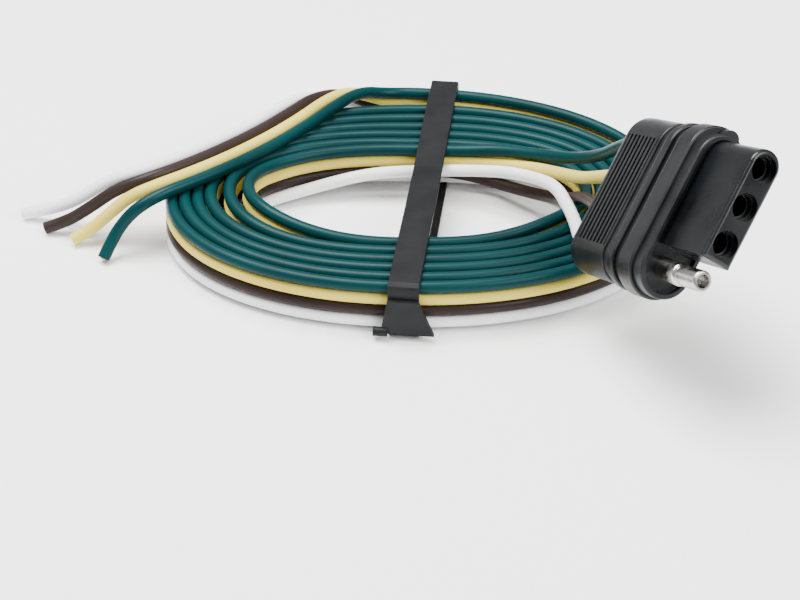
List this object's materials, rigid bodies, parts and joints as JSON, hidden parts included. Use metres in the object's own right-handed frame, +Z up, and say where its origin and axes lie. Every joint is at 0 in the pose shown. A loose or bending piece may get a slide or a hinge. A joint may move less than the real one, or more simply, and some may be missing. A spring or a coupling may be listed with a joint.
{
  "type": "trailer wiring connector",
  "caption": "Four-way flat trailer plug moulded on a bonded four-colour ribbon lead, wound in a flat coil and tied with a strap, with bare-cut free ends.",
  "frame": {"origin": "centre of the base of the plug and strap, on the surface the coil lies on", "axes": "+Z up, +Y from the leaning plug's nose towards the back of the coil, +X towards the plug's end of the coil"},
  "size_m": [0.168, 0.1275, 0.0573],
  "materials": {
    "overmould_black": "satin",
    "insulator_black": "satin",
    "contact_metal": "satin",
    "copper_strand": "satin",
    "strap_black": "satin",
    "pvc_white": "satin",
    "pvc_brown": "satin",
    "pvc_yellow": "satin",
    "pvc_green": "satin"
  },
  "bodies": {
    "root": {"nose_insulator": "insulator_black", "overmould_grip": "overmould_black", "ground_pin": "contact_metal", "tie_strap": "strap_black", "tie_strap_tail": "strap_black", "socket_terminal_brown": "contact_metal", "socket_terminal_yellow": "contact_metal", "socket_terminal_green": "contact_metal", "crimp_strands_white": "copper_strand", "end_strands_white": "copper_strand", "coil_white": "pvc_white", "plug_tail_white": "pvc_white", "free_lead_white": "pvc_white", "crimp_strands_brown": "copper_strand", "end_strands_brown": "copper_strand", "coil_brown": "pvc_brown", "plug_tail_brown": "pvc_brown", "free_lead_brown": "pvc_brown", "crimp_strands_yellow": "copper_strand", "end_strands_yellow": "copper_strand", "coil_yellow": "pvc_yellow", "plug_tail_yellow": "pvc_yellow", "free_lead_yellow": "pvc_yellow", "crimp_strands_green": "copper_strand", "end_strands_green": "copper_strand", "coil_green": "pvc_green", "plug_tail_green": "pvc_green", "free_lead_green": "pvc_green"}
  },
  "joints": []
}
